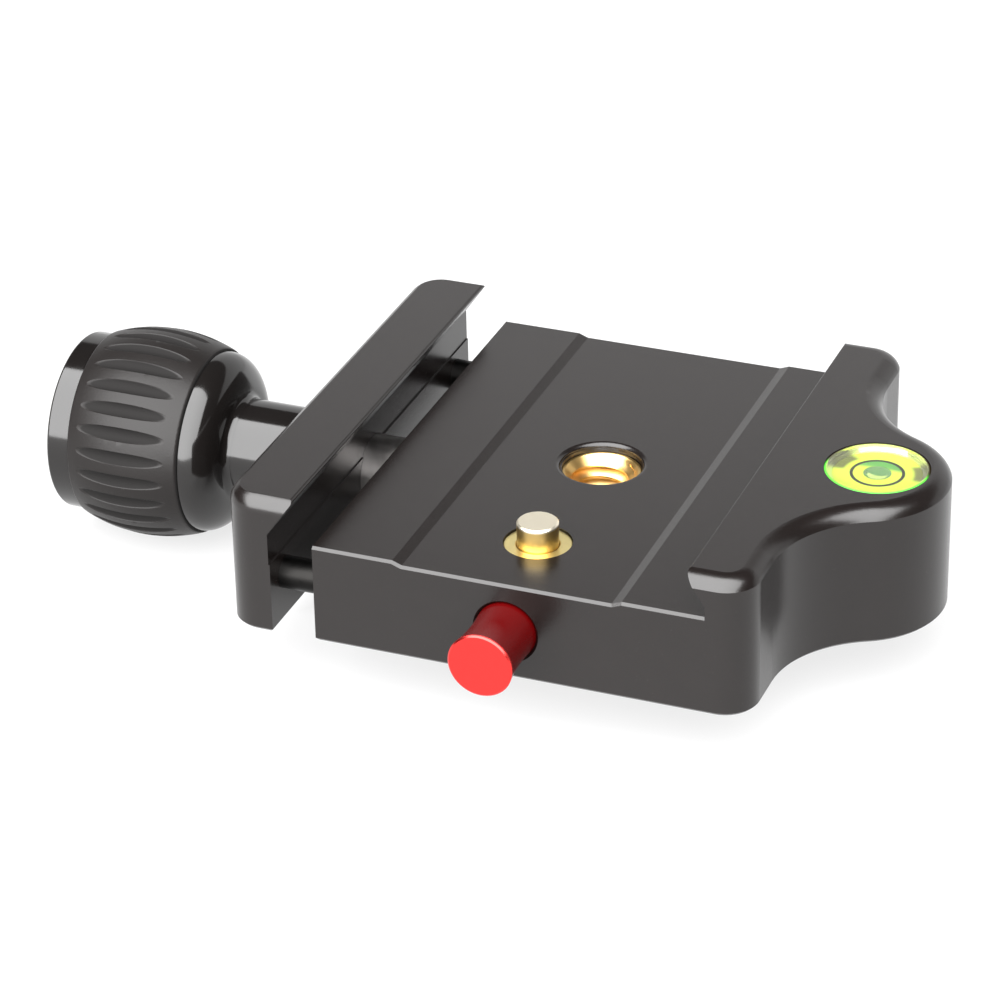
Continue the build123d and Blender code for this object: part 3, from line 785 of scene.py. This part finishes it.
class CLAMP_OT_level(Operator):
    """Spirit level: cup and spirit with painted glow, painted shade and painted bore reflections,
    clear lens, bubble and printed ring.
    """

    bl_idname = "clamp.level"
    bl_label = "Spirit level"

    PAINTED_BORE_REFLECTIONS = (160, 18)  # directions in degrees of the painted reflections of the dark bore
    # colour of the painted reflections of the bore
    PAINTED_REFLECTION_TONE = (0.055, 0.045, 0.038)

    def execute(self, context):
        threads = context.scene.clamp_threads
        colour = tuple(context.scene.clamp_finishes.spirit)
        self.cup(threads)
        self.lens(threads)
        self.printed_ring(threads)
        dress("level_fluid", self.spirit(colour))
        white, shader = new_material("level_white", (0.8, 0.85, 0.6), 0.4)
        cloud = noise(white, object_coordinates(white), 1.0 * MM)
        tinted(white, cloud, (0.74, 0.80, 0.55), (0.84, 0.88, 0.64), shader)
        dress("level_plug", white)
        return {"FINISHED"}

    def cup(self, threads):
        """Cup whose wall reaches the rim round the lens, with a painted glowing rim in front,
        painted shade towards the back and an emission glow.
        """
        outer = LEVEL_HIGH.x - LEVEL_X
        edge = 0.12 * MM
        step = FLUID_HIGH.z + FIT
        cavity = FLUID_HIGH.x - LEVEL_X + FIT
        lip = outer - 0.24 * MM
        profile = [
            (cavity, LEVEL_LOW.z), (outer, LEVEL_LOW.z), (outer, LEVEL_HIGH.z - edge),
            (outer - edge, LEVEL_HIGH.z), (lip, LEVEL_HIGH.z), (lip, step), (cavity, step),
            (cavity, LEVEL_LOW.z),
        ]
        bm = bmesh.new()
        turned_z(bm, profile, LEVEL_AXIS, threads.steps)
        # painted light: the front of the wall paler and its rim a glowing green, the back darker
        # as painted shade
        painted_lit_wall, painted_shaded_wall = (0.42, 0.58, 0.10), (0.34, 0.38, 0.12)
        painted_glow_edge, painted_shade_edge = (0.06, 0.42, 0.03), (0.012, 0.008, 0.001)
        cup_glow_and_shade, shader = new_material("acrylic_with_painted_glow_and_shade", painted_lit_wall, 0.3)
        shader.inputs["Specular IOR Level"].default_value = 0.2
        x, y = split(cup_glow_and_shade, object_coordinates(cup_glow_and_shade, LEVEL_AXIS))[:2]
        radius = reach(cup_glow_and_shade, x, y)
        rim = ramp(cup_glow_and_shade, radius, outer - 0.30 * MM, outer - 0.16 * MM)
        back = ramp(cup_glow_and_shade, y, -1.2 * MM, 0.6 * MM)
        wall = layer(cup_glow_and_shade, painted_lit_wall, painted_shaded_wall, back)
        # painted reflections of the dark bore on the cup's wall
        for turned in self.PAINTED_BORE_REFLECTIONS:
            wall = layer(cup_glow_and_shade, wall, self.PAINTED_REFLECTION_TONE, self.painted_bore_reflection(cup_glow_and_shade, x, y, radius, turned, 0))
        tone = layer(cup_glow_and_shade, wall, layer(cup_glow_and_shade, painted_glow_edge, painted_shade_edge, back), rim)
        cup_glow_and_shade.node_tree.links.new(tone, shader.inputs["Base Color"])
        # painted glow: the cup emits light though it is no lamp
        cup_glow_and_shade.node_tree.links.new(tone, shader.inputs["Emission Color"])
        shader.inputs["Emission Strength"].default_value = 0.15
        piece = finish_piece("level_cup", bm, "base", cup_glow_and_shade)
        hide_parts("level_vial")

    def lens(self, threads):
        """Clear lens with a hollow underside that the bubble rises into."""
        outer = LEVEL_HIGH.x - LEVEL_X - 0.25 * MM
        dome = 0.35 * MM
        peak = FLUID_HIGH.z + FIT
        foot = peak + 0.01 * MM
        half = FLUID_HIGH.x - LEVEL_X
        ball = (half**2 + dome**2) / (2 * dome)
        end = math.degrees(math.asin(half / ball))
        hollow = arc((0, peak - ball), ball, 90, 90 - end, 16)
        top = LEVEL_HIGH.z - 0.01 * MM
        profile = hollow + [(half, foot), (outer, foot), (outer, top), (0, top)]
        bm = bmesh.new()
        turned_z(bm, profile, LEVEL_AXIS, threads.steps)
        clear, shader = new_material("clear_acrylic", (0.97, 1.0, 0.90), 0.02)
        shader.inputs["Transmission Weight"].default_value = 1.0
        shader.inputs["IOR"].default_value = 1.49
        haze = noise(clear, object_coordinates(clear, LEVEL_AXIS), 0.8 * MM)
        spread(clear, haze, 0.01, 0.05, shader.inputs["Roughness"])
        finish_piece("level_lens", bm, "base", clear)

    def spirit(self, colour):
        """Fluorescent spirit with a painted emission glow, painted shade greener behind the ring,
        and the bubble as a painted darker disc with a painted pale highlight.
        """
        material, shader = new_material("level_spirit", colour, 0.15)
        x, y = split(material, object_coordinates(material, LEVEL_AXIS))[:2]
        radius = reach(material, x, y)
        inside = fade(material, radius, 2.30 * MM, 2.42 * MM)
        behind = ramp(material, y, 0.55 * MM, 1.35 * MM)
        shadow = calculate(material, "MULTIPLY", inside, behind)
        # painted shade: the bubble drawn as a darker disc
        bubble = fade(material, radius, 1.25 * MM, 1.40 * MM)
        core = fade(material, radius, 0.85 * MM, 1.05 * MM)
        front = fade(material, y, 0.05 * MM, 0.30 * MM)
        # painted highlight: a pale middle at the front of the bubble
        pale = calculate(material, "MULTIPLY", core, front)
        tone = colour
        # painted reflections of the dark bore in the spirit
        for turned, inner in zip(self.PAINTED_BORE_REFLECTIONS, (3.0 * MM, 3.2 * MM)):
            bore = self.painted_bore_reflection(material, x, y, radius, turned, inner)
            tone = layer(material, tone, self.PAINTED_REFLECTION_TONE, bore)
        tone = layer(material, tone, (0.10, 0.30, 0.07), shadow)
        tone = layer(material, tone, (0.06, 0.16, 0.05), bubble)
        tone = layer(material, tone, (0.40, 0.48, 0.18), pale)
        material.node_tree.links.new(tone, shader.inputs["Base Color"])
        material.node_tree.links.new(tone, shader.inputs["Emission Color"])
        # painted glow: the spirit emits light though it is no lamp
        shader.inputs["Emission Strength"].default_value = 0.2
        return material

    def painted_bore_reflection(self, material, x, y, radius, turned, inner):
        """Share of the painted reflection of the dark bore about one direction, past a radius."""
        angle = math.radians(turned)
        along = calculate(
            material, "ADD", calculate(material, "MULTIPLY", x, math.cos(angle)),
            calculate(material, "MULTIPLY", y, math.sin(angle)),
        )
        aimed = ramp(material, calculate(material, "DIVIDE", along, radius), 0.90, 0.97)
        outside = ramp(material, radius, inner, inner + 0.5 * MM)
        share = calculate(material, "MULTIPLY", aimed, outside)
        return calculate(material, "MULTIPLY", share, 0.85)

    def printed_ring(self, threads):
        """Thin printed ring just under the lens."""
        inner = threads.ring_radius - threads.ring_width / 2
        outer = threads.ring_radius + threads.ring_width / 2
        top = FLUID_HIGH.z - FIT
        bottom = top - 0.22 * MM
        bm = bmesh.new()
        profile = [(inner, bottom), (inner, top), (outer, top), (outer, bottom), (inner, bottom)]
        turned_z(bm, profile, LEVEL_AXIS, threads.steps)
        ink, shader = new_material("ring_ink", (0.006, 0.008, 0.004), 0.5)
        cloud = noise(ink, object_coordinates(ink), 0.3 * MM)
        tinted(ink, cloud, (0.005, 0.007, 0.003), (0.010, 0.013, 0.006), shader)
        finish_piece("level_ring", bm, "base", ink)


class CLAMP_OT_stage(Operator):
    """Pale floor, softbox and the camera."""

    bl_idname = "clamp.stage"
    bl_label = "Studio"

    def execute(self, context):
        scene = context.scene
        studio = scene.clamp_studio
        scene.view_settings.view_transform = "Standard"
        self.floor(scene, studio)
        self.room(scene, studio)
        self.softbox(scene, studio)
        self.camera(scene, studio)
        return {"FINISHED"}

    def floor(self, scene, studio):
        """Floor that curves up into a low white sweep behind the clamp."""
        bm = bmesh.new()
        half = 4.0
        bmesh.ops.create_grid(bm, x_segments=1, y_segments=1, size=half)
        back = [e for e in bm.edges if all(v.co.y > 0 for v in e.verts)]
        bmesh.ops.translate(bm, verts=back[0].verts[:], vec=(0, studio.sweep_far - half, 0))
        risen = bmesh.ops.extrude_edge_only(bm, edges=back)["geom"]
        top = [v for v in risen if isinstance(v, bmesh.types.BMVert)]
        bmesh.ops.translate(bm, verts=top, vec=(0, 0, studio.sweep_height))
        fold = [e for e in bm.edges if len(e.link_faces) == 2]
        bmesh.ops.bevel(
            bm, geom=fold, offset=0.3, offset_type="OFFSET", affect="EDGES", segments=16,
            profile=0.5, material=-1,
        )
        bmesh.ops.recalc_face_normals(bm, faces=bm.faces[:])
        for face in bm.faces:
            face.smooth = True
        bmesh.ops.translate(bm, verts=bm.verts[:], vec=(0, 0, studio.floor_level))
        mesh = bpy.data.meshes.new("floor")
        bm.to_mesh(mesh)
        bm.free()
        mesh.materials.append(self.paper(studio))
        floor = bpy.data.objects.new("floor", mesh)
        scene.collection.objects.link(floor)

    def paper(self, studio):
        """White paper with a glow of its own, which fades out under the clamp as a painted
        shadow.
        """
        material, shader = new_material("floor_paper", tuple(studio.floor_colour), 0.9)
        shader.inputs["Emission Color"].default_value = (1, 1, 1, 1)
        # painted shadow: the floor's glow fades to nothing under the clamp's footprint
        middle = (-6 * MM, 5 * MM, 0)
        half_x, half_y = 20 * MM, 15 * MM
        x, y = split(material, object_coordinates(material, middle))[:2]
        beyond_x = calculate(material, "SUBTRACT", calculate(material, "ABSOLUTE", x), half_x)
        beyond_y = calculate(material, "SUBTRACT", calculate(material, "ABSOLUTE", y), half_y)
        beyond = calculate(material, "MAXIMUM", beyond_x, beyond_y)
        outside_painted_shadow = ramp(material, beyond, -10 * MM, 3 * MM)
        spread(material, outside_painted_shadow, 0.0, studio.floor_glow, shader.inputs["Emission Strength"])
        return material

    def room(self, scene, studio):
        """Dim even light all round."""
        world = bpy.data.worlds.new("studio")
        world.use_nodes = True
        background = world.node_tree.nodes["Background"]
        background.inputs["Color"].default_value = (1, 1, 1, 1)
        background.inputs["Strength"].default_value = studio.room
        scene.world = world

    def softbox(self, scene, studio):
        """Rectangular area light from the horizon in front to just behind the zenith."""
        light = bpy.data.lights.new("softbox", "AREA")
        light.shape = "RECTANGLE"
        light.size = studio.softbox_size[0]
        light.size_y = studio.softbox_size[1]
        light.energy = studio.softbox_power
        self.falloff(light, studio.softbox_fall)
        lamp = bpy.data.objects.new("softbox", light)
        scene.collection.objects.link(lamp)
        tilt = studio.softbox_tilt
        aim = Vector((0, -math.cos(tilt), math.sin(tilt)))
        lamp.location = aim * studio.softbox_far - Vector((studio.softbox_left, 0, 0))
        lamp.rotation_euler = aim.to_track_quat("Z", "Y").to_euler()

    def falloff(self, light, dim):
        """Even light on the softbox's left half that falls off towards its right edge."""
        light.use_nodes = True
        nodes = light.node_tree.nodes
        links = light.node_tree.links
        place = nodes.new("ShaderNodeNewGeometry")
        parts = nodes.new("ShaderNodeSeparateXYZ")
        links.new(place.outputs["Parametric"], parts.inputs["Vector"])
        step = nodes.new("ShaderNodeMapRange")
        step.interpolation_type = "SMOOTHSTEP"
        step.inputs["From Min"].default_value = 0.4
        step.inputs["From Max"].default_value = 1.0
        step.inputs["To Min"].default_value = 1.0
        step.inputs["To Max"].default_value = dim
        links.new(parts.outputs["X"], step.inputs["Value"])
        links.new(step.outputs["Result"], nodes["Emission"].inputs["Strength"])

    def camera(self, scene, studio):
        """Camera at the photo's angle."""
        data = bpy.data.cameras.new("camera")
        data.sensor_width = 36.0
        data.lens = studio.lens
        data.shift_x = studio.shift_x
        data.shift_y = studio.shift_y
        data.clip_start = 0.01
        data.clip_end = 50.0
        camera = bpy.data.objects.new("camera", data)
        scene.collection.objects.link(camera)
        turn = Matrix.Rotation(studio.azimuth, 4, "Z")
        tilt = Matrix.Rotation(math.radians(90) - studio.elevation, 4, "X")
        roll = Matrix.Rotation(studio.roll, 4, "Z")
        camera.matrix_world = Matrix.Translation(studio.place) @ turn @ tilt @ roll
        scene.camera = camera


class CLAMP_PT_panel(Panel):
    """Lists the clamp's pieces and settings."""

    bl_idname = "CLAMP_PT_panel"
    bl_label = "Quick release clamp"
    bl_space_type = "VIEW_3D"
    bl_region_type = "UI"
    bl_category = "Clamp"

    def draw(self, context):
        layout = self.layout
        for operator in OPERATORS:
            layout.operator(operator.bl_idname)
        for group in ("clamp_finishes", "clamp_threads", "clamp_studio"):
            settings = getattr(context.scene, group)
            column = layout.column()
            for name in settings.__annotations__:
                column.prop(settings, name)


OPERATORS = (
    CLAMP_OT_stage,
    CLAMP_OT_body,
    CLAMP_OT_knob,
    CLAMP_OT_screw,
    CLAMP_OT_bush,
    CLAMP_OT_catch,
    CLAMP_OT_button,
    CLAMP_OT_fasteners,
    CLAMP_OT_level,
)
GROUPS = (ClampFinishes, ClampThreads, StudioSettings)


def register():
    for item in (*GROUPS, *OPERATORS, CLAMP_PT_panel):
        bpy.utils.register_class(item)
    bpy.types.Scene.clamp_finishes = PointerProperty(type=ClampFinishes)
    bpy.types.Scene.clamp_threads = PointerProperty(type=ClampThreads)
    bpy.types.Scene.clamp_studio = PointerProperty(type=StudioSettings)


def unregister():
    del bpy.types.Scene.clamp_finishes
    del bpy.types.Scene.clamp_threads
    del bpy.types.Scene.clamp_studio
    for item in reversed((*GROUPS, *OPERATORS, CLAMP_PT_panel)):
        bpy.utils.unregister_class(item)


def main():
    register()
    bpy.ops.clamp.stage()
    bpy.ops.clamp.body()
    bpy.ops.clamp.knob()
    bpy.ops.clamp.screw()
    bpy.ops.clamp.bush()
    bpy.ops.clamp.catch()
    bpy.ops.clamp.button()
    bpy.ops.clamp.fasteners()
    bpy.ops.clamp.level()


if __name__ == "__main__":
    main()
